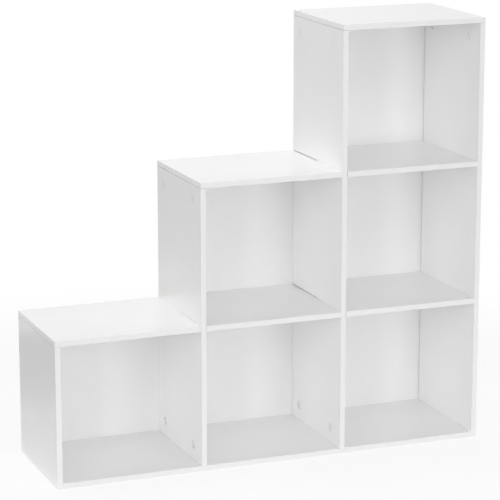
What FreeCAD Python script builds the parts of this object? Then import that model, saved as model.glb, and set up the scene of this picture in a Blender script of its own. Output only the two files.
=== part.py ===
"""Staircase bookshelf of white faced board: three columns with one, two and three open compartments.

The open front faces -Y, the stairs climb along +X and Z is up. The origin lies on the floor, under the
middle of the overall width and depth. All lengths are millimetres.
"""

import FreeCAD
import Part
import math
import os

Vector = FreeCAD.Vector

# Carcass boards
BOARD = 12.0  # thickness of every board
CELL_WIDTH = 321.0  # clear width of a compartment
CELL_HEIGHT = 307.0  # clear height of a compartment in the two lower rows
TOP_CELL_HEIGHT = 313.0  # clear height of the compartment at the head of the stairs
DEPTH = 280.0  # front to rear of a shelf, its front band included
BUTT_GAP = 0.1  # play where the end of a board meets another board tightly
OPEN_JOINT = 0.4  # open joint line between an upright and the step that covers its end

# How far the rear edge of each upright stays in front of the back panels
LEFT_SETBACK = 0.2
LOW_SETBACK = 0.2
HIGH_SETBACK = 0.6
RIGHT_SETBACK = 1.4

# Edge bands
BAND = 0.6  # thickness of the glued band
BAND_ROUND = 0.4  # rounding of its two outer arrises

# Half laps, where a step runs through an upright
LAP = 138.0  # depth of the slot in the step, from its front edge
LAP_END_PLAY = 0.5  # play between the ends of the two slots
LAP_SIDE_PLAY = 0.9  # the step's slot is this much wider than the upright
LOW_LAP_LEFT = 0.5  # share of that play on the left of the low upright
HIGH_LAP_LEFT = 0.1  # share of that play on the left of the high upright
LOW_LAP_ABOVE = 0.1  # play above a step in the low upright's slot
HIGH_LAP_ABOVE = 1.2  # play above a step in the high upright's slots
LAP_BELOW = 0.1  # play below a step in any upright's slot

# Back panels
BACK = 3.0  # thickness of the hardboard
BACK_INSET = 2.0  # its outer edges stand in from the carcass
BACK_GAP = 1.0  # between neighbouring panels, at the middle of an upright

# Cam fittings, one near the front and one near the rear of each joint
FITTING_FRONT = 52.0  # front edge to the front fitting
FITTING_REAR = 42.0  # rear edge to the rear fitting
FITTING_REACH = 34.0  # receiving face to the centre of the cam
BLIND_SKIN = 3.0  # board left beyond a blind hole in its face
CAM_DIAMETER = 15.0
CAM_HEIGHT = 7.0
CAM_DRIVE_LENGTH = 7.0  # cross recess for the screwdriver
CAM_DRIVE_WIDTH = 1.4
CAM_DRIVE_DEPTH = 0.5
CAP_DIAMETER = 20.0  # cover cap, sunk below the face of the board
CAP_THICKNESS = 0.8
CAP_ROUND = 0.3
POCKET_PLAY = 0.2  # radial play of a cam or a cap in its pocket
BOLT_THREAD_DIAMETER = 6.0
BOLT_SHANK_DIAMETER = 5.0
BOLT_NECK_DIAMETER = 3.4
BOLT_NECK_LENGTH = 4.0
BOLT_HEAD_DIAMETER = 5.2
BOLT_HEAD_LENGTH = 3.0
BOLT_PLAY = 0.2  # radial play of a bolt in the bore that leads to the cam

# Dowels beside the fittings
DOWEL_OFFSET = 32.0  # from a fitting towards the middle of the depth
DOWEL_DIAMETER = 6.0
DOWEL_LENGTH = 30.0
DOWEL_CHAMFER = 0.6
DOWEL_PLAY = 0.3  # at each end of a dowel
HOLE_PLAY = 0.05  # radial play round a dowel, a thread or a nail

# Nails that hold the back panels
NAIL_DIAMETER = 1.4
NAIL_LENGTH = 20.0
NAIL_HEAD_DIAMETER = 3.4
NAIL_HEAD_LENGTH = 0.7
NAIL_END = 45.0  # first and last nail of a row, from the corner of the compartment
NAIL_PITCH = 80.0  # apart along the middle of a row, and the most that two nails stand apart

# Places worked out from the driving dimensions
COLUMN = BOARD + CELL_WIDTH
WIDTH = 3 * COLUMN + BOARD
FRONT = -(DEPTH + BACK) / 2
REAR = FRONT + DEPTH
CORE_FRONT = FRONT + BAND
LAP_END = FRONT + LAP
LEFT_X = -WIDTH / 2
LOW_X = LEFT_X + COLUMN
HIGH_X = LOW_X + COLUMN
RIGHT_X = HIGH_X + COLUMN
FIRST_Z = BOARD + CELL_HEIGHT
SECOND_Z = FIRST_Z + BOARD + CELL_HEIGHT
TOP_Z = SECOND_Z + BOARD + TOP_CELL_HEIGHT
HEIGHT = TOP_Z + BOARD
BLIND_DEPTH = BOARD - BLIND_SKIN
CAP_SEAT = (BOARD - CAM_HEIGHT) / 2
PAST = BOARD  # a cutting tool runs this far past the face that it opens
NAIL_GRIP = NAIL_LENGTH - BACK

X_AXIS = Vector(1, 0, 0)
Y_AXIS = Vector(0, 1, 0)
Z_AXIS = Vector(0, 0, 1)

UPRIGHT_X = {"left_side": LEFT_X, "low_upright": LOW_X, "high_upright": HIGH_X, "right_side": RIGHT_X}
LEVEL_Z = {"bottom_board": 0.0, "first_step": FIRST_Z, "second_step": SECOND_Z, "top_board": TOP_Z}


def block(x_span, y_span, z_span):
    """A box between the given low and high values on each axis."""
    size = [high - low for low, high in (x_span, y_span, z_span)]
    return Part.makeBox(*size, Vector(x_span[0], y_span[0], z_span[0]))


def turned(start, along, steps):
    """One solid of cylinders in a row: steps are (length, diameter) from start along a direction."""
    place = Vector(start)
    pieces = []
    for length, diameter in steps:
        pieces.append(Part.makeCylinder(diameter / 2, length, place, along))
        place = place + along * length
    if len(pieces) == 1:
        return pieces[0]
    return pieces[0].fuse(pieces[1:]).removeSplitter()


def band_strip(corner, along, across, outward, length):
    """An edge band as wide as a board: its inner face starts at corner and its outer arrises are round."""
    radius = min(BAND_ROUND, BAND)
    corner_cut = radius * (1 - math.sqrt(0.5))
    inner = BAND - radius

    def point(wide, thick):
        return corner + across * wide + outward * thick

    right_arc = Part.Arc(
        point(BOARD, inner), point(BOARD - corner_cut, BAND - corner_cut), point(BOARD - radius, BAND)
    )
    left_arc = Part.Arc(point(radius, BAND), point(corner_cut, BAND - corner_cut), point(0, inner))
    outline = [
        Part.makeLine(point(0, 0), point(BOARD, 0)),
        Part.makeLine(point(BOARD, 0), point(BOARD, inner)),
        right_arc.toShape(),
        Part.makeLine(point(BOARD - radius, BAND), point(radius, BAND)),
        left_arc.toShape(),
        Part.makeLine(point(0, inner), point(0, 0)),
    ]
    return Part.Face(Part.Wire(outline)).extrude(along * length)


def spread(low, high):
    """Nail places along one side of a compartment: one near each corner, the rest at their pitch."""
    first, last = low + NAIL_END, high - NAIL_END
    between = int((last - first) // NAIL_PITCH)
    start = (first + last - (between - 1) * NAIL_PITCH) / 2
    return [first, *(start + NAIL_PITCH * i for i in range(between)), last]


class Bookshelf:
    """Collects the blanks of all boards and panels, the cuts made in each, and the loose pieces."""

    def __init__(self):
        self.blanks = {}
        self.cuts = {}
        self.groups = {}

    def blank(self, name, shape):
        """A board or a panel before its holes and slots are cut."""
        self.blanks[name] = shape
        self.cuts[name] = []

    def add(self, group, shape):
        """One more solid of a node that holds several, such as the fasteners."""
        self.groups.setdefault(group, []).append(shape)

    def uprights(self):
        """The two sides and the two uprights between them, with their front bands."""
        feet = {"left_side": 0.0, "low_upright": BOARD, "high_upright": BOARD, "right_side": 0.0}
        heads = {
            "left_side": FIRST_Z - BUTT_GAP,
            "low_upright": SECOND_Z - OPEN_JOINT,
            "high_upright": TOP_Z - OPEN_JOINT,
            "right_side": TOP_Z - OPEN_JOINT,
        }
        setbacks = {
            "left_side": LEFT_SETBACK,
            "low_upright": LOW_SETBACK,
            "high_upright": HIGH_SETBACK,
            "right_side": RIGHT_SETBACK,
        }
        for name, x in UPRIGHT_X.items():
            foot, head = feet[name], heads[name]
            self.blank(name, block((x, x + BOARD), (CORE_FRONT, REAR - setbacks[name]), (foot, head)))
            corner = Vector(x, CORE_FRONT, foot)
            self.add(name + "_band", band_strip(corner, Z_AXIS, X_AXIS, -Y_AXIS, head - foot))

    def shelves(self):
        """The bottom and the three steps, with front bands and bands on the ends that show."""
        spans = {
            "bottom_board": (LEFT_X + BOARD + BUTT_GAP, RIGHT_X - BUTT_GAP),
            "first_step": (LEFT_X, RIGHT_X - BUTT_GAP),
            "second_step": (LOW_X, RIGHT_X - BUTT_GAP),
            "top_board": (HIGH_X, RIGHT_X + BOARD),
        }
        banded_ends = {
            "bottom_board": (False, False),
            "first_step": (True, False),
            "second_step": (True, False),
            "top_board": (True, True),
        }
        for name, (left, right) in spans.items():
            z = LEVEL_Z[name]
            left_banded, right_banded = banded_ends[name]
            core = (left + BAND * left_banded, right - BAND * right_banded)
            self.blank(name, block(core, (CORE_FRONT, REAR), (z, z + BOARD)))
            for low, high in self.front_runs(name, left, right):
                corner = Vector(low, CORE_FRONT, z)
                self.add(name + "_front_band", band_strip(corner, X_AXIS, Z_AXIS, -Y_AXIS, high - low))
            if left_banded:
                corner = Vector(core[0], CORE_FRONT, z)
                strip = band_strip(corner, Y_AXIS, Z_AXIS, -X_AXIS, REAR - CORE_FRONT)
                self.add(name + "_left_band", strip)
            if right_banded:
                corner = Vector(core[1], CORE_FRONT, z)
                strip = band_strip(corner, Y_AXIS, Z_AXIS, X_AXIS, REAR - CORE_FRONT)
                self.add(name + "_right_band", strip)

    @staticmethod
    def lap_slots(step):
        """The uprights that a step runs through, each with the slot that it needs along X."""
        low = (LOW_X - LOW_LAP_LEFT, LOW_X - LOW_LAP_LEFT + BOARD + LAP_SIDE_PLAY)
        high = (HIGH_X - HIGH_LAP_LEFT, HIGH_X - HIGH_LAP_LEFT + BOARD + LAP_SIDE_PLAY)
        laps = {
            "first_step": {"low_upright": low, "high_upright": high},
            "second_step": {"high_upright": high},
        }
        return laps.get(step, {})

    def front_runs(self, step, left, right):
        """The stretches of a shelf's front edge that its slots leave."""
        runs = []
        for low, high in self.lap_slots(step).values():
            runs.append((left, low))
            left = high
        runs.append((left, right))
        return runs

    def half_laps(self):
        """Front slots in the steps and rear slots in the uprights, which slide into each other."""
        above = {"low_upright": LOW_LAP_ABOVE, "high_upright": HIGH_LAP_ABOVE}
        for step in ("first_step", "second_step"):
            z = LEVEL_Z[step]
            for upright, slot in self.lap_slots(step).items():
                self.cuts[step].append(block(slot, (FRONT - PAST, LAP_END), (z - PAST, z + BOARD + PAST)))
                x = UPRIGHT_X[upright]
                opening = (z - LAP_BELOW, z + BOARD + above[upright])
                lap = (LAP_END - LAP_END_PLAY, REAR + PAST)
                self.cuts[upright].append(block((x - PAST, x + BOARD + PAST), lap, opening))

    def joints(self):
        """Cam fittings and dowels at every end joint of the carcass."""
        middle = BOARD / 2
        for upright, step, face in (
            ("left_side", "first_step", X_AXIS),
            ("low_upright", "second_step", -X_AXIS),
            ("high_upright", "top_board", -X_AXIS),
            ("right_side", "top_board", -X_AXIS),
        ):
            spot = Vector(UPRIGHT_X[upright] + middle, 0, LEVEL_Z[step])
            self.joint(upright, step, spot, -Z_AXIS, face)
        for upright in ("low_upright", "high_upright"):
            spot = Vector(UPRIGHT_X[upright] + middle, 0, BOARD)
            self.joint(upright, "bottom_board", spot, Z_AXIS, -X_AXIS)
        for shelf in ("bottom_board", "first_step", "second_step"):
            spot = Vector(RIGHT_X, 0, LEVEL_Z[shelf] + middle)
            self.joint(shelf, "right_side", spot, -X_AXIS, -Z_AXIS)
        spot = Vector(LEFT_X + BOARD, 0, middle)
        self.joint("bottom_board", "left_side", spot, X_AXIS, -Z_AXIS)

    def joint(self, carrier, receiver, spot, into, face):
        """The fittings and dowels of one joint.

        The carrier ends at the receiver's face. Spot lies on that face at the carrier's mid-thickness, into
        points into the carrier and face points out of the face that the cams are bored from.
        """
        front, rear = FRONT + FITTING_FRONT, REAR - FITTING_REAR
        for y in (front, rear):
            self.cam_fitting(carrier, receiver, spot + Y_AXIS * y, into, face)
        for y in (front + DOWEL_OFFSET, rear - DOWEL_OFFSET):
            self.dowel(carrier, receiver, spot + Y_AXIS * y, into)

    def cam_fitting(self, carrier, receiver, spot, into, face):
        """A cam in the carrier, the bolt that it pulls on, and the cap that covers it."""
        centre = spot + into * FITTING_REACH
        head_end = FITTING_REACH + BOLT_HEAD_LENGTH / 2
        shank = head_end - BOLT_HEAD_LENGTH - BOLT_NECK_LENGTH
        bolt = turned(
            spot - into * BLIND_DEPTH,
            into,
            [
                (BLIND_DEPTH, BOLT_THREAD_DIAMETER),
                (shank, BOLT_SHANK_DIAMETER),
                (BOLT_NECK_LENGTH, BOLT_NECK_DIAMETER),
                (BOLT_HEAD_LENGTH, BOLT_HEAD_DIAMETER),
            ],
        )
        self.add("cam_bolts", bolt)
        bore_diameter = BOLT_HEAD_DIAMETER + 2 * BOLT_PLAY
        bore = Part.makeCylinder(bore_diameter / 2, head_end + BOLT_PLAY, spot, into)
        thread_hole = BOLT_THREAD_DIAMETER + 2 * HOLE_PLAY
        self.cuts[receiver].append(turned(spot - into * BLIND_DEPTH, into, [(BLIND_DEPTH, thread_hole)]))

        cam_foot = centre - face * (CAM_HEIGHT / 2)
        cam_head = centre + face * (CAM_HEIGHT / 2)
        cam = Part.makeCylinder(CAM_DIAMETER / 2, CAM_HEIGHT, cam_foot, face)
        drive_foot = cam_head - face * CAM_DRIVE_DEPTH
        self.add("cam_locks", cam.cut([bore, *self.cam_drive(drive_foot, into, face)]))

        cap = Part.makeCylinder(CAP_DIAMETER / 2, CAP_THICKNESS, cam_head, face)
        rim = max(cap.Edges, key=lambda edge: edge.BoundBox.Center.dot(face))
        self.add("cam_caps", cap.makeFillet(min(CAP_ROUND, CAP_THICKNESS / 2), [rim]))

        cam_pocket = turned(cam_foot, face, [(BOARD, CAM_DIAMETER + 2 * POCKET_PLAY)])
        cap_pocket = turned(cam_head, face, [(CAP_SEAT + PAST, CAP_DIAMETER + 2 * POCKET_PLAY)])
        self.cuts[carrier] += [bore, cam_pocket, cap_pocket]

    @staticmethod
    def cam_drive(foot, into, face):
        """The two slots of a cam's cross recess, ready to be cut."""
        sideways = into.cross(face)
        slots = []
        for long_way, short_way in ((into, sideways), (sideways, into)):
            corner = foot - long_way * (CAM_DRIVE_LENGTH / 2) - short_way * (CAM_DRIVE_WIDTH / 2)
            ends = [
                corner,
                corner + long_way * CAM_DRIVE_LENGTH,
                corner + long_way * CAM_DRIVE_LENGTH + short_way * CAM_DRIVE_WIDTH,
                corner + short_way * CAM_DRIVE_WIDTH,
                corner,
            ]
            outline = Part.Face(Part.makePolygon(ends))
            slots.append(outline.extrude(face * (CAM_DRIVE_DEPTH + PAST)))
        return slots

    def dowel(self, carrier, receiver, spot, into):
        """A wooden dowel across a joint, with a hole in each board."""
        face_part = BLIND_DEPTH - DOWEL_PLAY
        peg = Part.makeCylinder(DOWEL_DIAMETER / 2, DOWEL_LENGTH, spot - into * face_part, into)
        ends = [edge for edge in peg.Edges if isinstance(edge.Curve, Part.Circle)]
        self.add("dowels", peg.makeChamfer(DOWEL_CHAMFER, ends))
        hole = DOWEL_DIAMETER + 2 * HOLE_PLAY
        self.cuts[receiver].append(turned(spot - into * BLIND_DEPTH, into, [(BLIND_DEPTH, hole)]))
        end_part = DOWEL_LENGTH - face_part + DOWEL_PLAY
        self.cuts[carrier].append(turned(spot, into, [(end_part, hole)]))

    def backs(self):
        """One hardboard panel per column, nailed to the rear edges of the boards round it."""
        half_gap = BACK_GAP / 2
        low_split = LOW_X + BOARD / 2
        high_split = HIGH_X + BOARD / 2
        columns = {
            "low_back": ("left_side", "low_upright", LEFT_X + BACK_INSET, low_split - half_gap),
            "middle_back": ("low_upright", "high_upright", low_split + half_gap, high_split - half_gap),
            "tall_back": ("high_upright", "right_side", high_split + half_gap, RIGHT_X + BOARD - BACK_INSET),
        }
        shelves = list(LEVEL_Z)
        for rows, (panel, (left, right, low_edge, high_edge)) in enumerate(columns.items(), start=1):
            around = shelves[: rows + 1]
            top_edge = LEVEL_Z[around[-1]] + BOARD - BACK_INSET
            self.blank(panel, block((low_edge, high_edge), (REAR, REAR + BACK), (BACK_INSET, top_edge)))
            self.nail_panel(panel, left, right, around, (low_edge, high_edge), top_edge)

    def nail_panel(self, panel, left, right, around, edges, top_edge):
        """Rows of nails along every board behind one panel."""
        inner_left = UPRIGHT_X[left] + BOARD
        inner_right = UPRIGHT_X[right]
        for shelf in around:
            bearing_low = max(LEVEL_Z[shelf], BACK_INSET)
            bearing_high = min(LEVEL_Z[shelf] + BOARD, top_edge)
            for x in spread(inner_left, inner_right):
                self.nail(panel, shelf, x, (bearing_low + bearing_high) / 2)
        for floor, ceiling in zip(around, around[1:]):
            for z in spread(LEVEL_Z[floor] + BOARD, LEVEL_Z[ceiling]):
                self.nail(panel, left, (edges[0] + inner_left) / 2, z)
                self.nail(panel, right, (edges[1] + inner_right) / 2, z)

    def nail(self, panel, board, x, z):
        """One nail from the rear face of a panel into a board, its head flush with the panel."""
        start = Vector(x, REAR + BACK, z)
        shank = NAIL_LENGTH - NAIL_HEAD_LENGTH
        play = 2 * HOLE_PLAY
        steps = [(NAIL_HEAD_LENGTH, NAIL_HEAD_DIAMETER), (shank, NAIL_DIAMETER)]
        self.add("back_nails", turned(start, -Y_AXIS, steps))
        head_hole = (NAIL_HEAD_LENGTH, NAIL_HEAD_DIAMETER + play)
        shank_hole = (BACK - NAIL_HEAD_LENGTH + PAST, NAIL_DIAMETER + play)
        self.cuts[panel].append(turned(start, -Y_AXIS, [head_hole, shank_hole]))
        grip_start = start - Y_AXIS * BACK
        self.cuts[board].append(turned(grip_start, -Y_AXIS, [(NAIL_GRIP, NAIL_DIAMETER + play)]))

    def build(self):
        """Every node of the bookshelf, by name."""
        self.uprights()
        self.shelves()
        self.half_laps()
        self.joints()
        self.backs()
        nodes = {}
        for name, shape in self.blanks.items():
            nodes[name] = shape.cut(self.cuts[name]) if self.cuts[name] else shape
        for name, solids in self.groups.items():
            nodes[name] = Part.makeCompound(solids) if len(solids) > 1 else solids[0]
        return nodes


os.makedirs("parts", exist_ok=True)
for node, shape in Bookshelf().build().items():
    shape.exportStep("parts/" + node + ".step")
    print(node, len(shape.Solids), "solids", round(shape.Volume), "mm3")
print("overall", WIDTH, DEPTH + BACK, HEIGHT)
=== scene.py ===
"""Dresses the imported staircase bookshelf: its finishes, its small turned pieces, the studio and the camera.

Everything is in the part's own frame, in metres: the open front faces -Y, the stairs climb along +X and
Z is up. Boards, bands, panels and cams keep their CAD solids. Caps, nails, bolts and dowels are modelled
anew.
"""

import logging
import math
from dataclasses import dataclass, field
from enum import Enum
from typing import Any, Callable, Iterable, Optional, Union

import bmesh
import bpy
from mathutils import Matrix, Vector


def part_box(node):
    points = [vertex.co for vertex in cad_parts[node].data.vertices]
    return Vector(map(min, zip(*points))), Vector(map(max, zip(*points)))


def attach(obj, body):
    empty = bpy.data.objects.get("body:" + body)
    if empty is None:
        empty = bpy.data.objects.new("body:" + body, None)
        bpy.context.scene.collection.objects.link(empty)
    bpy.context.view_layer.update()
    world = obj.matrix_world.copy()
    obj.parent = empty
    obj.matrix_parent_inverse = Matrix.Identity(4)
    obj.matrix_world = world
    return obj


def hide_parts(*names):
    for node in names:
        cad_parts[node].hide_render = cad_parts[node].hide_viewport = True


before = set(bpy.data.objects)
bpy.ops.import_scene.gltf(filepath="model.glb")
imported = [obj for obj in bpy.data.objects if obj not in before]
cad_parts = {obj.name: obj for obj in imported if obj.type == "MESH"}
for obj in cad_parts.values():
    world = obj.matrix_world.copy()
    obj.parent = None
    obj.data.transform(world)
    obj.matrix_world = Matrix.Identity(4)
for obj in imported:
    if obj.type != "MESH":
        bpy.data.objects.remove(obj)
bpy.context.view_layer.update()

MM = 0.001
BODY = "root"
SMOOTH_BELOW = 32.0  # degrees between two faces under which their edge is shaded smooth
MERGE = 1e-6  # metres within which two corners of a mesh are one
PLAIN_WHITE = "#FFFFFF"
WAVE_RADIANS = 20.0  # what a wave texture of scale one runs through in a metre

log = logging.getLogger("bookshelf")

Colour = tuple[float, float, float, float]
Socket = bpy.types.NodeSocket
Tree = bpy.types.NodeTree


class Axis(Enum):
    """The axes of the part's frame, by their place in a vector."""

    X = 0
    Y = 1
    Z = 2

    @property
    def unit(self) -> Vector:
        """The unit vector along this axis."""
        return Vector([1.0 if place == self.value else 0.0 for place in range(3)])


class Slot(Enum):
    """Names of material slots for the modelled pieces, which this script leaves unused."""

    BOLT = "steel_bolt"
    CAP = "white_cap"
    DOWEL = "beech_dowel"
    NAIL = "steel_nail"


class CapFit(Enum):
    """How a cover cap sits: sunk at the foot of an upright and grey with painted shade, sunk and white, or
    flush and white.
    """

    FOOT = "foot"
    SUNK = "sunk"
    FLUSH = "flush"


def linear(hex_colour: str) -> Colour:
    """Turns an sRGB hex colour into the linear colour that shaders take.

    Args:
        hex_colour: Six hex digits, with or without a leading hash.

    Returns:
        Red, green, blue and an alpha of one.
    """
    digits = hex_colour.lstrip("#")
    channels = [int(digits[place : place + 2], 16) / 255 for place in (0, 2, 4)]
    red, green, blue = [c / 12.92 if c <= 0.04045 else ((c + 0.055) / 1.055) ** 2.4 for c in channels]
    return red, green, blue, 1.0


def add_node(
    tree: Tree,
    kind: str,
    inputs: Optional[dict[Union[str, int], Any]] = None,
    **settings: Any,
) -> bpy.types.Node:
    """Adds one shader node with its settings, constants and links.

    Args:
        tree: The node tree that receives the node.
        kind: The node's type without Blender's ShaderNode prefix.
        inputs: Values by socket name or number; an output socket is linked, anything else is set.
        **settings: Attributes of the node, such as its operation or data type.

    Returns:
        The new node.
    """
    node = tree.nodes.new("ShaderNode" + kind)
    for name, value in settings.items():
        setattr(node, name, value)
    for key, value in (inputs or {}).items():
        if isinstance(value, Socket):
            tree.links.new(value, node.inputs[key])
        else:
            node.inputs[key].default_value = value
    return node


def per_mm(size: float) -> float:
    """The texture scale at which one cell of a pattern is this many millimetres wide."""
    return 1.0 / (size * MM)


# Sockets of the Mix node in its colour mode, where several share a name
MIX_A, MIX_B, MIX_RESULT = 6, 7, 2


@dataclass(frozen=True)
class Finish:
    """What all finishes share: a name, and a principled shader with constants on its own sockets."""

    name: str = "finish"
    colour: str = PLAIN_WHITE
    roughness: float = 0.5
    metallic: float = 0.0
    ior: float = 1.5

    def material(self) -> bpy.types.Material:
        """Makes the material once.

        Returns:
            The material of this finish's name.
        """
        made = bpy.data.materials.get(self.name)
        if made is None:
            made = bpy.data.materials.new(self.name)
            made.use_nodes = True
            tree = made.node_tree
            tree.nodes.clear()
            constants = {"Roughness": self.roughness, "Metallic": self.metallic, "IOR": self.ior}
            shader = add_node(tree, "BsdfPrincipled", {"Base Color": linear(self.colour), **constants})
            add_node(tree, "OutputMaterial", {"Surface": shader.outputs["BSDF"]})
            self.paint(tree, shader, add_node(tree, "TexCoord"))
        return made

    def paint(self, tree: Tree, shader: bpy.types.Node, place: bpy.types.Node) -> None:
        """Adds the finish's own pattern; a finish without one doesn't change the shader.

        Args:
            tree: The material's node tree.
            shader: Its principled shader.
            place: Its texture coordinates.
        """


@dataclass(frozen=True)
class WhiteMelamine(Finish):
    """White melamine paper pressed on particle board.

    The press plate leaves a fine pearl, which breaks up the satin reflection without any colour of its own.
    Sawn edges and bored walls have no paper: there the glued chips show, lighter and darker brown.
    """

    name: str = "white_melamine"
    colour: str = "#F7F7F7"
    cloud_colour: str = "#F4F4F4"
    roughness: float = 0.27
    thickness: Axis = Axis.Z
    pearl_mm: float = 3.0  # about twice the real pearl, so that it shows in a picture of the whole shelf
    pearl_height_mm: float = 0.02
    pearl_octaves: float = 1.0
    cloud_mm: float = 90.0
    cloud_octaves: float = 3.0
    chip_mm: float = 2.4
    dark_chip: str = "#8A6B49"
    light_chip: str = "#C9AB82"
    chip_roughness: float = 0.9
    face_share: float = 0.5  # a normal with more than this along the thickness has paper

    def paint(self, tree: Tree, shader: bpy.types.Node, place: bpy.types.Node) -> None:
        """Paper on the two faces and chips elsewhere, told apart by the surface's own normal.

        Args:
            tree: The material's node tree.
            shader: Its principled shader.
            place: Its texture coordinates.
        """
        spot = place.outputs["Object"]
        clouds = add_node(
            tree,
            "TexNoise",
            {"Vector": spot, "Scale": per_mm(self.cloud_mm), "Detail": self.cloud_octaves},
        )
        paper = add_node(
            tree,
            "Mix",
            {"Factor": clouds.outputs["Fac"], MIX_A: linear(self.colour), MIX_B: linear(self.cloud_colour)},
            data_type="RGBA",
        )
        chips = add_node(tree, "TexVoronoi", {"Vector": spot, "Scale": per_mm(self.chip_mm)})
        shade = add_node(tree, "SeparateColor", {"Color": chips.outputs["Color"]})
        board = add_node(
            tree,
            "Mix",
            {"Factor": shade.outputs["Red"], MIX_A: linear(self.dark_chip), MIX_B: linear(self.light_chip)},
            data_type="RGBA",
        )
        normal = add_node(tree, "SeparateXYZ", {"Vector": place.outputs["Normal"]})
        across = add_node(tree, "Math", {0: normal.outputs[self.thickness.value]}, operation="ABSOLUTE")
        raw = add_node(tree, "Math", {0: across.outputs[0], 1: self.face_share}, operation="LESS_THAN")
        surface = add_node(
            tree,
            "Mix",
            {"Factor": raw.outputs[0], MIX_A: paper.outputs[MIX_RESULT], MIX_B: board.outputs[MIX_RESULT]},
            data_type="RGBA",
        )
        tree.links.new(surface.outputs[MIX_RESULT], shader.inputs["Base Color"])
        rough = add_node(
            tree,
            "MapRange",
            {"Value": raw.outputs[0], "To Min": self.roughness, "To Max": self.chip_roughness},
        )
        tree.links.new(rough.outputs["Result"], shader.inputs["Roughness"])
        pearl = add_node(
            tree,
            "TexNoise",
            {"Vector": spot, "Scale": per_mm(self.pearl_mm), "Detail": self.pearl_octaves},
        )
        bump = add_node(
            tree,
            "Bump",
            {"Height": pearl.outputs["Fac"], "Distance": self.pearl_height_mm * MM},
        )
        tree.links.new(bump.outputs["Normal"], shader.inputs["Normal"])


@dataclass(frozen=True)
class SatinEdgeBand(Finish):
    """Satin white plastic edge band, glued on and scraped flush.

    It is duller than the faces and greyer with painted shade, and the scraper leaves faint streaks along its
    length.
    """

    name: str = "satin_edge_band"
    # a grey with painted shade, darker than the faces' white
    colour: str = "#DADADA"
    streak_colour: str = "#DDDDDD"
    roughness: float = 0.34
    run: Axis = Axis.X
    streak_mm: float = 0.9
    streak_length_mm: float = 70.0
    streak_height_mm: float = 0.008
    streak_octaves: float = 2.0

    def paint(self, tree: Tree, shader: bpy.types.Node, place: bpy.types.Node) -> None:
        """Streaks that run the way the band does.

        Args:
            tree: The material's node tree.
            shader: Its principled shader.
            place: Its texture coordinates.
        """
        scale = Vector([per_mm(self.streak_mm)] * 3)
        scale[self.run.value] = per_mm(self.streak_length_mm)
        stretched = add_node(tree, "Mapping", {"Vector": place.outputs["Object"], "Scale": scale})
        streaks = add_node(
            tree,
            "TexNoise",
            {"Vector": stretched.outputs["Vector"], "Scale": 1.0, "Detail": self.streak_octaves},
        )
        tone = add_node(
            tree,
            "Mix",
            {
                "Factor": streaks.outputs["Fac"],
                MIX_A: linear(self.colour),
                MIX_B: linear(self.streak_colour),
            },
            data_type="RGBA",
        )
        tree.links.new(tone.outputs[MIX_RESULT], shader.inputs["Base Color"])
        bump = add_node(
            tree,
            "Bump",
            {"Height": streaks.outputs["Fac"], "Distance": self.streak_height_mm * MM},
        )
        tree.links.new(bump.outputs["Normal"], shader.inputs["Normal"])


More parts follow.
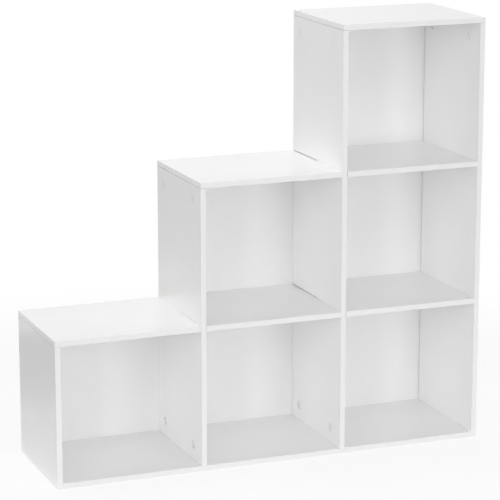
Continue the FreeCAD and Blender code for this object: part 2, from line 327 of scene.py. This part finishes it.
@dataclass(frozen=True)
class LacqueredHardboard(Finish):
    """Hardboard with one lacquered face: smooth white inside the shelf, bare brown fibre behind.

    The lacquer lies over pressed fibre and stays a little uneven. The bare face keeps the print of the wire
    mesh that it was pressed on.
    """

    name: str = "lacquered_hardboard"
    colour: str = "#F7F7F7"
    cloud_colour: str = "#F4F4F4"
    roughness: float = 0.4
    cloud_mm: float = 60.0
    cloud_octaves: float = 3.0
    ripple_mm: float = 5.0
    ripple_height_mm: float = 0.02
    ripple_octaves: float = 1.0
    dark_fibre: str = "#7A5A3E"
    light_fibre: str = "#A5825C"
    fibre_mm: float = 4.0
    fibre_octaves: float = 6.0
    fibre_contrast: float = 0.7  # how much of the noise its finer octaves keep
    mesh_mm: float = 3.2  # about twice the real mesh, so that it shows in a picture of the whole back
    mesh_height_mm: float = 0.12
    mesh_wander: float = 0.4  # how far its wires stray from straight lines
    fibre_roughness: float = 0.85
    front_share: float = -0.5  # the lacquered face looks along -Y

    def paint(self, tree: Tree, shader: bpy.types.Node, place: bpy.types.Node) -> None:
        """Lacquer on the face that looks into the shelf, fibre with its mesh print everywhere else.

        Args:
            tree: The material's node tree.
            shader: Its principled shader.
            place: Its texture coordinates.
        """
        spot = place.outputs["Object"]
        clouds = add_node(
            tree,
            "TexNoise",
            {"Vector": spot, "Scale": per_mm(self.cloud_mm), "Detail": self.cloud_octaves},
        )
        lacquer = add_node(
            tree,
            "Mix",
            {"Factor": clouds.outputs["Fac"], MIX_A: linear(self.colour), MIX_B: linear(self.cloud_colour)},
            data_type="RGBA",
        )
        fibres = add_node(
            tree,
            "TexNoise",
            {
                "Vector": spot,
                "Scale": per_mm(self.fibre_mm),
                "Detail": self.fibre_octaves,
                "Roughness": self.fibre_contrast,
            },
        )
        fibre = add_node(
            tree,
            "Mix",
            {
                "Factor": fibres.outputs["Fac"],
                MIX_A: linear(self.dark_fibre),
                MIX_B: linear(self.light_fibre),
            },
            data_type="RGBA",
        )
        normal = add_node(tree, "SeparateXYZ", {"Vector": place.outputs["Normal"]})
        bare = add_node(
            tree,
            "Math",
            {0: normal.outputs[Axis.Y.value], 1: self.front_share},
            operation="GREATER_THAN",
        )
        surface = add_node(
            tree,
            "Mix",
            {
                "Factor": bare.outputs[0],
                MIX_A: lacquer.outputs[MIX_RESULT],
                MIX_B: fibre.outputs[MIX_RESULT],
            },
            data_type="RGBA",
        )
        tree.links.new(surface.outputs[MIX_RESULT], shader.inputs["Base Color"])
        rough = add_node(
            tree,
            "MapRange",
            {"Value": bare.outputs[0], "To Min": self.roughness, "To Max": self.fibre_roughness},
        )
        tree.links.new(rough.outputs["Result"], shader.inputs["Roughness"])
        ripple = add_node(
            tree,
            "TexNoise",
            {"Vector": spot, "Scale": per_mm(self.ripple_mm), "Detail": self.ripple_octaves},
        )
        smooth = add_node(
            tree,
            "Bump",
            {"Height": ripple.outputs["Fac"], "Distance": self.ripple_height_mm * MM},
        )
        mesh = self.mesh_print(tree, spot)
        mesh_depth = add_node(tree, "Math", {0: mesh, 1: bare.outputs[0]}, operation="MULTIPLY")
        bump = add_node(
            tree,
            "Bump",
            {
                "Height": mesh_depth.outputs[0],
                "Distance": self.mesh_height_mm * MM,
                "Normal": smooth.outputs["Normal"],
            },
        )
        tree.links.new(bump.outputs["Normal"], shader.inputs["Normal"])

    def mesh_print(self, tree: Tree, spot: Socket) -> Socket:
        """The print of the wire mesh, as the product of two sets of waves.

        Args:
            tree: The material's node tree.
            spot: The object coordinates.

        Returns:
            The height of the print, from zero to one.
        """
        scale = per_mm(self.mesh_mm) / WAVE_RADIANS * math.tau
        waves = [
            add_node(
                tree,
                "TexWave",
                {"Vector": spot, "Scale": scale, "Distortion": self.mesh_wander},
                bands_direction=way,
            )
            for way in ("X", "Z")
        ]
        crossed = add_node(
            tree,
            "Math",
            {0: waves[0].outputs["Fac"], 1: waves[1].outputs["Fac"]},
            operation="MULTIPLY",
        )
        return crossed.outputs[0]


@dataclass(frozen=True)
class GrainedMetal(Finish):
    """Metal with a fine uneven skin: cast zinc is dull and grey, plating and drawn steel are brighter."""

    metallic: float = 1.0
    dull_colour: str = "#808080"
    grain_mm: float = 0.6
    grain_height_mm: float = 0.01
    grain_octaves: float = 3.0
    roughness_spread: float = 0.12

    def paint(self, tree: Tree, shader: bpy.types.Node, place: bpy.types.Node) -> None:
        """Duller and rougher grains among brighter ones.

        Args:
            tree: The material's node tree.
            shader: Its principled shader.
            place: Its texture coordinates.
        """
        spot = place.outputs["Object"]
        grain = add_node(
            tree,
            "TexNoise",
            {"Vector": spot, "Scale": per_mm(self.grain_mm), "Detail": self.grain_octaves},
        )
        tone = add_node(
            tree,
            "Mix",
            {"Factor": grain.outputs["Fac"], MIX_A: linear(self.colour), MIX_B: linear(self.dull_colour)},
            data_type="RGBA",
        )
        tree.links.new(tone.outputs[MIX_RESULT], shader.inputs["Base Color"])
        rough = add_node(
            tree,
            "MapRange",
            {
                "Value": grain.outputs["Fac"],
                "To Min": self.roughness - self.roughness_spread,
                "To Max": self.roughness + self.roughness_spread,
            },
        )
        tree.links.new(rough.outputs["Result"], shader.inputs["Roughness"])
        bump = add_node(
            tree,
            "Bump",
            {"Height": grain.outputs["Fac"], "Distance": self.grain_height_mm * MM},
        )
        tree.links.new(bump.outputs["Normal"], shader.inputs["Normal"])


@dataclass(frozen=True)
class MouldedPlastic(Finish):
    """Moulded white polypropylene: a soft, slightly waxy skin with the fine spark grain of its mould."""

    name: str = "moulded_polypropylene"
    colour: str = "#EFEFEF"
    shade_colour: str = "#EBEBEB"
    roughness: float = 0.3
    ior: float = 1.49
    spark_mm: float = 0.5
    spark_height_mm: float = 0.015
    spark_octaves: float = 2.0

    def paint(self, tree: Tree, shader: bpy.types.Node, place: bpy.types.Node) -> None:
        """Spark grain in colour and in height.

        Args:
            tree: The material's node tree.
            shader: Its principled shader.
            place: Its texture coordinates.
        """
        spot = place.outputs["Object"]
        spark = add_node(
            tree,
            "TexNoise",
            {"Vector": spot, "Scale": per_mm(self.spark_mm), "Detail": self.spark_octaves},
        )
        tone = add_node(
            tree,
            "Mix",
            {"Factor": spark.outputs["Fac"], MIX_A: linear(self.colour), MIX_B: linear(self.shade_colour)},
            data_type="RGBA",
        )
        tree.links.new(tone.outputs[MIX_RESULT], shader.inputs["Base Color"])
        bump = add_node(
            tree,
            "Bump",
            {"Height": spark.outputs["Fac"], "Distance": self.spark_height_mm * MM},
        )
        tree.links.new(bump.outputs["Normal"], shader.inputs["Normal"])


# The caps at the feet of the uprights are a darker grey: painted shade for the shadow in their recesses.
WHITE_CAP = MouldedPlastic()
PAINTED_SHADE_CAP = MouldedPlastic(name="moulded_polypropylene_painted_shade", colour="#E5E5E5", shade_colour="#E1E1E1")


@dataclass(frozen=True)
class BareBeech(Finish):
    """Bare turned beech: pale brown, with the short dark flecks that beech has in every cut."""

    name: str = "bare_beech"
    colour: str = "#CFA878"
    fleck_colour: str = "#A57B4C"
    roughness: float = 0.65
    fleck_mm: float = 0.9
    fleck_octaves: float = 4.0
    fleck_start: float = 0.52  # the noise at which a fleck begins to show
    fleck_full: float = 0.62

    def paint(self, tree: Tree, shader: bpy.types.Node, place: bpy.types.Node) -> None:
        """Flecks where the noise passes a threshold, with soft edges.

        Args:
            tree: The material's node tree.
            shader: Its principled shader.
            place: Its texture coordinates.
        """
        spot = place.outputs["Object"]
        noise = add_node(
            tree,
            "TexNoise",
            {"Vector": spot, "Scale": per_mm(self.fleck_mm), "Detail": self.fleck_octaves},
        )
        fleck = add_node(
            tree,
            "MapRange",
            {"Value": noise.outputs["Fac"], "From Min": self.fleck_start, "From Max": self.fleck_full},
        )
        tone = add_node(
            tree,
            "Mix",
            {
                "Factor": fleck.outputs["Result"],
                MIX_A: linear(self.colour),
                MIX_B: linear(self.fleck_colour),
            },
            data_type="RGBA",
        )
        tree.links.new(tone.outputs[MIX_RESULT], shader.inputs["Base Color"])


DIE_CAST_ZINC = GrainedMetal("die_cast_zinc", "#B4B6BA", 0.5, dull_colour="#8E9196")
ZINC_PLATED_STEEL = GrainedMetal("zinc_plated_steel", "#C9CCD1", 0.3, dull_colour="#A9ADB4", grain_mm=0.4)
BRIGHT_STEEL = GrainedMetal("bright_steel", "#C2C3C5", 0.32, dull_colour="#9B9C9F", grain_mm=0.3)


def dress_node(node: str, finish: Finish) -> None:
    """Gives a CAD node its finish.

    Args:
        node: The node's name.
        finish: The finish whose material it gets.
    """
    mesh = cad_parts[node].data
    mesh.materials.clear()
    mesh.materials.append(finish.material())
    log.info("dressed %s in %s", node, finish.name)


@dataclass
class Carcass:
    """The faced boards and the bands on the edges that show."""

    uprights: tuple[str, ...] = ("left_side", "low_upright", "high_upright", "right_side")
    shelves: tuple[str, ...] = ("bottom_board", "first_step", "second_step", "top_board")
    end_bands: tuple[str, ...] = (
        "first_step_left_band",
        "second_step_left_band",
        "top_board_left_band",
        "top_board_right_band",
    )

    def dress(self) -> None:
        """Finishes every board by the way it is laid, and every band by the way it runs."""
        for board in self.uprights:
            dress_node(board, WhiteMelamine("white_melamine_upright", thickness=Axis.X))
            # the upright bands' grey is painted shade
            dress_node(board + "_band", SatinEdgeBand("satin_edge_band_upright_painted_shade", run=Axis.Z))
        for board in self.shelves:
            dress_node(board, WhiteMelamine("white_melamine_shelf", thickness=Axis.Z))
            # the front bands' grey is painted shade
            dress_node(board + "_front_band", SatinEdgeBand("satin_edge_band_front_painted_shade", run=Axis.X))
        # The bands on the boards' ends are whiter than those in front, whose grey is painted shade
        end_finish = SatinEdgeBand("satin_edge_band_end", "#F5F5F5", streak_colour="#F7F7F7", run=Axis.Y)
        for band in self.end_bands:
            dress_node(band, end_finish)


@dataclass
class BackPanels:
    """The three hardboard panels behind the columns."""

    panels: tuple[str, ...] = ("low_back", "middle_back", "tall_back")

    def dress(self) -> None:
        """Finishes the panels."""
        for panel in self.panels:
            dress_node(panel, LacqueredHardboard())


@dataclass(frozen=True)
class Solid:
    """The box of one solid among the many that a CAD node holds."""

    low: Vector
    high: Vector

    @property
    def centre(self) -> Vector:
        """The middle of the box."""
        return (self.low + self.high) / 2

    @property
    def size(self) -> Vector:
        """The lengths of the box along X, Y and Z."""
        return self.high - self.low

    def nearest(self, others: Iterable["Solid"]) -> "Solid":
        """The one among other solids whose middle is closest to this one's."""
        return min(others, key=lambda other: (other.centre - self.centre).length)


def solids_of(node: str) -> list[Solid]:
    """Parts a CAD node into its separate solids.

    Args:
        node: The node's name.

    Returns:
        The solids' boxes, in the order of their middles.
    """
    shape = bmesh.new()
    shape.from_mesh(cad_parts[node].data)
    bmesh.ops.remove_doubles(shape, verts=shape.verts, dist=MERGE)
    waiting = set(shape.verts)
    found = []
    while waiting:
        reached = [waiting.pop()]
        for corner in reached:
            beside = {edge.other_vert(corner) for edge in corner.link_edges} & waiting
            waiting -= beside
            reached.extend(beside)
        spans = list(zip(*(corner.co for corner in reached)))
        found.append(Solid(Vector(map(min, spans)), Vector(map(max, spans))))
    shape.free()
    return sorted(found, key=lambda solid: solid.centre.to_tuple())


def disc(radius: float, sides: int) -> bpy.types.Object:
    """Starts a piece as a filled disc on the origin, in edit mode and alone in the selection.

    Args:
        radius: The disc's radius in metres.
        sides: Its number of corners.

    Returns:
        The piece's object.
    """
    bpy.ops.object.select_all(action="DESELECT")
    bpy.ops.mesh.primitive_circle_add(vertices=sides, radius=radius, fill_type="NGON")
    bpy.ops.object.mode_set(mode="EDIT")
    return bpy.context.active_object


def pull(height: float) -> None:
    """Extrudes the selected face along Z."""
    bpy.ops.mesh.extrude_region_move(TRANSFORM_OT_translate={"value": (0.0, 0.0, height)})


def widen(share: float) -> None:
    """Scales the selected face about the piece's own axis."""
    bpy.ops.transform.resize(value=(share, share, 1.0), center_override=(0.0, 0.0, 0.0))


def pick_edges(test: Callable[[Vector, Vector], bool]) -> None:
    """Selects edges of the piece in edit mode.

    Args:
        test: Takes the places of an edge's two ends and tells whether the edge is meant.
    """
    bpy.ops.mesh.select_mode(type="EDGE")
    bpy.ops.mesh.select_all(action="DESELECT")
    mesh = bpy.context.active_object.data
    for edge in bmesh.from_edit_mesh(mesh).edges:
        if test(*(end.co for end in edge.verts)):
            edge.select_set(True)
    bmesh.update_edit_mesh(mesh)


def pick_faces(test: Callable[[Vector, Vector], bool]) -> None:
    """Selects faces of the piece in edit mode.

    Args:
        test: Takes a face's middle and normal and tells whether the face is meant.
    """
    bpy.ops.mesh.select_mode(type="FACE")
    bpy.ops.mesh.select_all(action="DESELECT")
    mesh = bpy.context.active_object.data
    for face in bmesh.from_edit_mesh(mesh).faces:
        if test(face.calc_center_median(), face.normal):
            face.select_set(True)
    bmesh.update_edit_mesh(mesh)


def close_piece() -> None:
    """Merges the piece's doubled corners, turns its faces outwards and leaves edit mode."""
    bpy.ops.mesh.select_all(action="SELECT")
    bpy.ops.mesh.remove_doubles(threshold=MERGE)
    bpy.ops.mesh.normals_make_consistent(inside=False)
    bpy.ops.object.mode_set(mode="OBJECT")


def turn(rings: list[tuple[float, float]], sides: int) -> bpy.types.Object:
    """Turns a piece as on a lathe: a disc is pulled from ring to ring and widened to each ring's radius.

    Args:
        rings: Radius and height of each ring in metres, the first one at height zero.
        sides: Facets round the axis.

    Returns:
        The closed piece, standing on the origin along Z.
    """
    (radius, height), *others = rings
    piece = disc(radius, sides)
    for next_radius, next_height in others:
        pull(next_height - height)
        widen(next_radius / radius)
        radius, height = next_radius, next_height
    close_piece()
    return piece


def join(pieces: list[bpy.types.Object], name: str) -> bpy.types.Object:
    """Makes one piece of several.

    Args:
        pieces: What is joined; the first one takes in the others.
        name: What the joined piece is called.

    Returns:
        The joined piece, alone in the selection.
    """
    bpy.ops.object.select_all(action="DESELECT")
    for piece in pieces:
        piece.select_set(True)
    joined = pieces[0]
    bpy.context.view_layer.objects.active = joined
    bpy.ops.object.join()
    joined.name = joined.data.name = name
    return joined


def set_out(pattern: bpy.types.Object, name: str, spots: list[tuple[Vector, Vector]]) -> bpy.types.Object:
    """Copies a piece to its places and joins the copies.

    Args:
        pattern: The piece, modelled once on the origin along Z; only its copies stay.
        name: What the joined piece is called.
        spots: Where each copy's origin goes and the way that its Z axis points.

    Returns:
        The joined piece, with its place in its mesh.
    """
    copies = []
    for place, way in spots:
        copy = pattern.copy()
        copy.data = pattern.data.copy()
        copy.matrix_world = Matrix.Translation(place) @ way.to_track_quat("Z", "Y").to_matrix().to_4x4()
        bpy.context.scene.collection.objects.link(copy)
        copies.append(copy)
    bpy.data.objects.remove(pattern)
    joined = join(copies, name)
    bpy.ops.object.transform_apply(location=True, rotation=True, scale=True)
    bpy.ops.object.shade_smooth_by_angle(angle=math.radians(SMOOTH_BELOW))
    return joined


def hand_over(piece: bpy.types.Object, node: str, finish: Finish) -> None:
    """Dresses a modelled piece and lets it stand for its CAD node.

    Args:
        piece: The finished piece.
        node: The CAD node that it replaces.
        finish: The finish whose material it gets.
    """
    piece.data.materials.clear()
    piece.data.materials.append(finish.material())
    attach(piece, BODY)
    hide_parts(node)
    log.info("modelled %s in %s for %s", piece.name, finish.name, node)


@dataclass
class CamLocks:
    """The die-cast cams in the boards, which keep their CAD solids."""

    node: str = "cam_locks"

    def dress(self) -> None:
        """Finishes the cams."""
        dress_node(self.node, DIE_CAST_ZINC)


@dataclass
class CoverCaps:
    """Caps over the cams: dished and sunk inside the cells, flat and flush on the outside."""

    node: str = "cam_caps"
    radius: float = 10.17 * MM
    height: float = 2.45 * MM
    rim: float = 0.6 * MM
    floor: float = 0.4 * MM
    crown: float = 0.04 * MM
    crown_inset: float = 5.0 * MM
    rounding: float = 0.1 * MM
    rounding_steps: int = 2
    sides: int = 48
    outside: tuple[tuple[str, str], ...] = (("low_upright", "first_step"), ("high_upright", "second_step"))

    def model(self, fit: CapFit) -> bpy.types.Object:
        """Models one cap: skirt, rim and crowned middle, with the rim's edges rounded.

        Args:
            fit: A sunk cap has its middle pressed down into a dish.

        Returns:
            The cap, standing on the origin.
        """
        cap = disc(self.radius, self.sides)
        pull(self.height)
        bpy.ops.mesh.inset(thickness=self.rim)
        if fit is not CapFit.FLUSH:
            pull(self.floor - self.height)
        bpy.ops.mesh.inset(thickness=self.crown_inset)
        bpy.ops.transform.translate(value=(0.0, 0.0, self.crown))
        pick_edges(self.on_rim)
        bpy.ops.mesh.bevel(offset=self.rounding, segments=self.rounding_steps)
        close_piece()
        return cap

    def on_rim(self, start: Vector, end: Vector) -> bool:
        """True for the edges that run round the top of the rim."""
        level = max(abs(place.z - self.height) for place in (start, end)) < MERGE
        return level and abs(start.xy.length - end.xy.length) < MERGE

    def fit_of(self, cap: Solid) -> CapFit:
        """Flush in an upright's outer face above its step, grey with painted shade at its foot, and sunk and
        white elsewhere.

        Args:
            cap: The cap's CAD solid.

        Returns:
            How the cap sits.
        """
        for upright, step in self.outside:
            left, right = (corner.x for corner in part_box(upright))
            if left < cap.centre.x < right:
                return CapFit.FLUSH if cap.centre.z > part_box(step)[1].z else CapFit.FOOT
        return CapFit.SUNK

    def build(self) -> None:
        """Sets a cap on the floor of every pocket, looking away from the cam behind it."""
        cams = solids_of("cam_locks")
        spots: dict[CapFit, list[tuple[Vector, Vector]]] = {fit: [] for fit in CapFit}
        for cap in solids_of(self.node):
            way = (cap.centre - cap.nearest(cams).centre).normalized()
            spots[self.fit_of(cap)].append((cap.centre - way * min(cap.size) / 2, way))
        for fit, places in spots.items():
            # the caps at the feet take the grey with painted shade
            finish = PAINTED_SHADE_CAP if fit is CapFit.FOOT else WHITE_CAP
            hand_over(set_out(self.model(fit), fit.value + "_caps", places), self.node, finish)


@dataclass
class PanelNails:
    """Bright nails with flat heads, driven flush into the back panels."""

    node: str = "back_nails"
    length: float = 20.0 * MM
    point: float = 2.0 * MM
    shank: float = 0.7 * MM
    tip: float = 0.15 * MM
    head: float = 1.7 * MM
    head_height: float = 0.7 * MM
    rounding: float = 0.2 * MM
    sides: int = 8

    def model(self) -> bpy.types.Object:
        """Turns one nail from its point to its head.

        Returns:
            The nail, standing on its point.
        """
        under = self.length - self.head_height
        rings = [
            (self.tip, 0.0),
            (self.shank, self.point),
            (self.shank, under),
            (self.head, under),
            (self.head, self.length - self.rounding),
            (self.head - self.rounding, self.length),
        ]
        return turn(rings, self.sides)

    def build(self) -> None:
        """Drives the nails in from behind, their heads level with the panels."""
        behind = Axis.Y.unit
        spots = [(nail.centre - behind * nail.size.y / 2, behind) for nail in solids_of(self.node)]
        hand_over(set_out(self.model(), "panel_nails", spots), self.node, BRIGHT_STEEL)


@dataclass
class CamBolts:
    """Plated bolts: a coarse thread in one board, a long shank, and a necked head for the other's cam."""

    node: str = "cam_bolts"
    length: float = 44.5 * MM
    thread_length: float = 9.0 * MM
    pitch: float = 1.8 * MM
    crest: float = 3.0 * MM
    root: float = 2.3 * MM
    shank: float = 2.5 * MM
    neck: float = 1.7 * MM
    neck_length: float = 4.0 * MM
    head: float = 2.6 * MM
    head_length: float = 3.0 * MM
    rounding: float = 0.4 * MM
    sides: int = 16

    def model(self) -> bpy.types.Object:
        """Turns one bolt from its thread to its head; the thread's ridges are rings.

        Returns:
            The bolt, standing on the end of its thread.
        """
        ridges = round(self.thread_length / self.pitch)
        under_head = self.length - self.head_length
        under_neck = under_head - self.neck_length
        rings = [
            ring
            for ridge in range(ridges)
            for ring in ((self.root, ridge * self.pitch), (self.crest, (ridge + 0.5) * self.pitch))
        ]
        rings += [
            (self.root, self.thread_length),
            (self.shank, self.thread_length),
            (self.shank, under_neck),
            (self.neck, under_neck),
            (self.neck, under_head),
            (self.head, under_head),
            (self.head, self.length - self.rounding),
            (self.head - self.rounding, self.length),
        ]
        return turn(rings, self.sides)

    def build(self) -> None:
        """Screws the bolts in, their heads towards the cams."""
        cams = solids_of("cam_locks")
        spots = []
        for bolt in solids_of(self.node):
            way = (bolt.nearest(cams).centre - bolt.centre).normalized()
            spots.append((bolt.centre - way * max(bolt.size) / 2, way))
        hand_over(set_out(self.model(), "plated_bolts", spots), self.node, ZINC_PLATED_STEEL)


@dataclass
class Dowels:
    """Fluted beech dowels, which keep the boards in line."""

    node: str = "dowels"
    radius: float = 3.0 * MM
    length: float = 30.0 * MM
    chamfer: float = 0.8 * MM
    flute_edge: float = 0.15 * MM
    flute_depth: float = 0.25 * MM
    sides: int = 24
    side_share: float = 0.1  # a normal that leans less than this along the axis belongs to the round side

    def model(self) -> bpy.types.Object:
        """Models one dowel: chamfered ends, and a flute pressed into every second facet.

        Returns:
            The dowel, standing on the origin.
        """
        share = self.radius / (self.radius - self.chamfer)
        dowel = disc(self.radius - self.chamfer, self.sides)
        pull(self.chamfer)
        widen(share)
        pull(self.length - 2 * self.chamfer)
        pull(self.chamfer)
        widen(1 / share)
        bpy.ops.mesh.select_all(action="SELECT")
        bpy.ops.mesh.normals_make_consistent(inside=False)
        pick_faces(self.takes_flute)
        bpy.ops.mesh.inset(thickness=self.flute_edge, depth=-self.flute_depth, use_individual=True)
        close_piece()
        return dowel

    def takes_flute(self, middle: Vector, normal: Vector) -> bool:
        """True for every second facet of the round side."""
        facet = math.floor(math.atan2(middle.y, middle.x) / math.tau * self.sides)
        return abs(normal.z) < self.side_share and facet % 2 == 0

    def build(self) -> None:
        """Puts a dowel into every pair of bores."""
        spots = []
        for dowel in solids_of(self.node):
            way = max(Axis, key=lambda axis: dowel.size[axis.value]).unit
            spots.append((dowel.centre - way * max(dowel.size) / 2, way))
        hand_over(set_out(self.model(), "fluted_dowels", spots), self.node, BareBeech())


@dataclass
class SoftBox:
    """A square soft light that looks at the shelf."""

    name: str
    azimuth: float  # degrees from the open front, turning towards the right side
    elevation: float  # degrees above level
    distance: float  # metres
    side: float
    power: float  # watts
    glint: bool = True  # whether satin faces mirror it
    aim: Vector = field(default_factory=lambda: Vector((0.0, 0.0, 0.45)))

    def build(self) -> bpy.types.Object:
        """Adds the lamp.

        Returns:
            The lamp's object.
        """
        round_by, rise = math.radians(self.azimuth), math.radians(self.elevation)
        level = math.cos(rise)
        away = Vector((math.sin(round_by) * level, -math.cos(round_by) * level, math.sin(rise)))
        data = bpy.data.lights.new(self.name, "AREA")
        data.shape, data.size, data.energy = "SQUARE", self.side, self.power
        lamp = bpy.data.objects.new(self.name, data)
        lamp.location = self.aim + away * self.distance
        lamp.rotation_mode = "QUATERNION"
        lamp.rotation_quaternion = away.to_track_quat("Z", "Y")
        lamp.visible_camera, lamp.visible_glossy = False, self.glint
        bpy.context.scene.collection.objects.link(lamp)
        log.info("lit by %s", self.name)
        return lamp


@dataclass
class GreyFlag:
    """A grey board near the shelf, which only shows in the satin reflection of an outer face."""

    name: str
    low: tuple[float, float, float]
    high: tuple[float, float, float]
    colour: str

    def build(self) -> None:
        """Sets the board up, for reflections alone."""
        bpy.ops.object.select_all(action="DESELECT")
        bpy.ops.mesh.primitive_cube_add(size=1.0)
        flag = bpy.context.active_object
        flag.name = self.name
        low, high = Vector(self.low), Vector(self.high)
        bpy.ops.object.mode_set(mode="EDIT")
        bpy.ops.transform.resize(value=high - low, center_override=(0.0, 0.0, 0.0))
        bpy.ops.transform.translate(value=(high + low) / 2)
        bpy.ops.object.mode_set(mode="OBJECT")
        flag.data.materials.append(Finish(self.name + "_matt_board", self.colour, roughness=1.0).material())
        flag.visible_camera = flag.visible_diffuse = flag.visible_shadow = False
        log.info("flagged by %s", flag.name)


@dataclass
class Studio:
    """A pale paper floor that runs out to white, grey flags, soft lamps and an even sky."""

    floor_side: float = 60.0
    paper: str = "#F4F4F4"
    bare_floor: str = "#707070"  # round the paper, for the light that falls on the shelf
    paper_reach: tuple[float, float] = (0.75, 1.5)  # metres from the middle between which it ends
    ambient: float = 0.345
    veil: float = 0.85  # share of plain white in the paper that shows beside the shelf
    near: float = 0.6  # metres from the shelf's middle, from where on the white takes over
    far: float = 1.6  # and from where on it is plain white
    lamps: tuple[SoftBox, ...] = (
        SoftBox("left_light", -40.0, 10.0, 8.0, 6.0, 250.0),
        SoftBox("low_left_light", -40.0, 3.0, 12.0, 4.0, 178.0),
        SoftBox("right_light", 40.0, 8.0, 8.0, 4.0, 182.0, glint=False),
        SoftBox("front_light", 12.5, 5.0, 4.0, 1.1, 28.4),
        SoftBox("high_light", -10.0, 45.0, 5.0, 2.0, 28.0),
        SoftBox("rear_light", 180.0, 60.0, 8.0, 5.0, 63.0),
        SoftBox("rim_light", -120.0, 65.0, 2.5, 1.0, 16.0),
        SoftBox("fill_light", 130.0, 5.0, 8.0, 5.0, 170.0, glint=False),
    )
    flags: tuple[GreyFlag, ...] = (
        # painted shade: a grey board that stands for the shelf's shadow on the floor behind it, in
        # reflections
        GreyFlag("floor_shadow_flag", (-1.2, 0.5, 0.0), (-0.45, 0.52, 0.17), "#B0B0B0"),
        GreyFlag("near_flag", (-0.45, 0.3, 0.0), (-0.1, 0.32, 0.32), "#EEEEEE"),
        GreyFlag("far_flag", (-1.6, 1.5, 0.0), (-0.3, 1.52, 1.0), "#E6E6E6"),
        # painted shade: a grey card that stands for the contact shadow on the floor, in reflections
        GreyFlag("contact_shadow_card", (-1.2, -0.3, 0.0), (-0.52, 0.5, 0.002), "#E4E4E4"),
    )

    def build(self) -> None:
        """Sets up floor, sky, flags and lamps."""
        self.build_floor()
        self.build_sky()
        for flag in self.flags:
            flag.build()
        for lamp in self.lamps:
            lamp.build()
        bpy.context.scene.view_settings.view_transform = "Standard"

    def shown_rays(self, tree: Tree) -> Socket:
        """One for rays that show the studio itself: straight to the camera, in gloss or through glass.

        Args:
            tree: The node tree that needs it.

        Returns:
            A socket that is one for those rays and zero for the light that falls on the shelf.
        """
        rays = add_node(tree, "LightPath")
        either = add_node(
            tree,
            "Math",
            {0: rays.outputs["Is Camera Ray"], 1: rays.outputs["Is Glossy Ray"]},
            operation="MAXIMUM",
        )
        shown = add_node(
            tree,
            "Math",
            {0: either.outputs[0], 1: rays.outputs["Is Transmission Ray"]},
            operation="MAXIMUM",
        )
        return shown.outputs[0]

    def build_floor(self) -> None:
        """A sheet of paper that keeps a faint shadow beside the shelf and is plain white further out."""
        bpy.ops.object.select_all(action="DESELECT")
        bpy.ops.mesh.primitive_plane_add(size=self.floor_side)
        floor = bpy.context.active_object
        floor.name = "paper_floor"
        made = bpy.data.materials.new("matt_paper")
        made.use_nodes = True
        tree = made.node_tree
        tree.nodes.clear()
        white = add_node(tree, "Emission", {"Color": linear(PLAIN_WHITE), "Strength": 1.0})
        spot = add_node(tree, "TexCoord")
        reach = add_node(tree, "VectorMath", {0: spot.outputs["Object"]}, operation="LENGTH")
        beyond = add_node(
            tree,
            "MapRange",
            {
                "Value": reach.outputs["Value"],
                "From Min": self.paper_reach[0],
                "From Max": self.paper_reach[1],
            },
        )
        tone = add_node(
            tree,
            "Mix",
            {"Factor": beyond.outputs["Result"], MIX_A: linear(self.paper), MIX_B: linear(self.bare_floor)},
            data_type="RGBA",
        )
        sheet = add_node(tree, "BsdfDiffuse", {"Color": tone.outputs[MIX_RESULT]})
        fade = add_node(
            tree,
            "MapRange",
            {
                "Value": reach.outputs["Value"],
                "From Min": self.near,
                "From Max": self.far,
                "To Min": self.veil,
            },
            interpolation_type="SMOOTHSTEP",
        )
        shown = add_node(
            tree,
            "Math",
            {0: fade.outputs["Result"], 1: self.shown_rays(tree)},
            operation="MULTIPLY",
        )
        mixed = add_node(
            tree,
            "MixShader",
            {0: shown.outputs[0], 1: sheet.outputs[0], 2: white.outputs[0]},
        )
        add_node(tree, "OutputMaterial", {"Surface": mixed.outputs[0]})
        floor.data.materials.append(made)
        log.info("stood on %s", floor.name)

    def build_sky(self) -> None:
        """An even white surround, dimmer for the light that it sheds on the shelf."""
        world = bpy.data.worlds.new("studio_white")
        world.use_nodes = True
        tree = world.node_tree
        tree.nodes.clear()
        strength = add_node(
            tree,
            "MapRange",
            {"Value": self.shown_rays(tree), "To Min": self.ambient, "To Max": 1.0},
        )
        sky = add_node(
            tree,
            "Background",
            {"Color": linear(PLAIN_WHITE), "Strength": strength.outputs["Result"]},
        )
        add_node(tree, "OutputWorld", {"Surface": sky.outputs[0]})
        bpy.context.scene.world = world


@dataclass
class PhotoCamera:
    """The photograph's viewpoint: before the low end, well above the shelf, looking down on its steps."""

    place: Vector = field(default_factory=lambda: Vector((-1.8176, -4.5627, 1.6200)))
    yaw: float = 21.699  # degrees, turned from straight into the shelf towards its right side
    pitch: float = 13.324  # degrees below level
    lens_mm: float = 161.4
    sensor_mm: float = 36.0

    def build(self) -> bpy.types.Object:
        """Adds the camera and makes it the scene's camera.

        Returns:
            The camera's object.
        """
        data = bpy.data.cameras.new("photo_camera")
        data.lens, data.sensor_width = self.lens_mm, self.sensor_mm
        camera = bpy.data.objects.new("photo_camera", data)
        camera.location = self.place
        camera.rotation_euler = (math.radians(90.0 - self.pitch), 0.0, math.radians(-self.yaw))
        bpy.context.scene.collection.objects.link(camera)
        bpy.context.scene.camera = camera
        return camera


def main() -> None:
    """Dresses the shelf, and sets up the studio and the camera."""
    logging.basicConfig(level=logging.INFO, format="%(name)s: %(message)s")
    Carcass().dress()
    BackPanels().dress()
    CamLocks().dress()
    CoverCaps().build()
    PanelNails().build()
    CamBolts().build()
    Dowels().build()
    Studio().build()
    PhotoCamera().build()


if __name__ == "__main__":
    main()
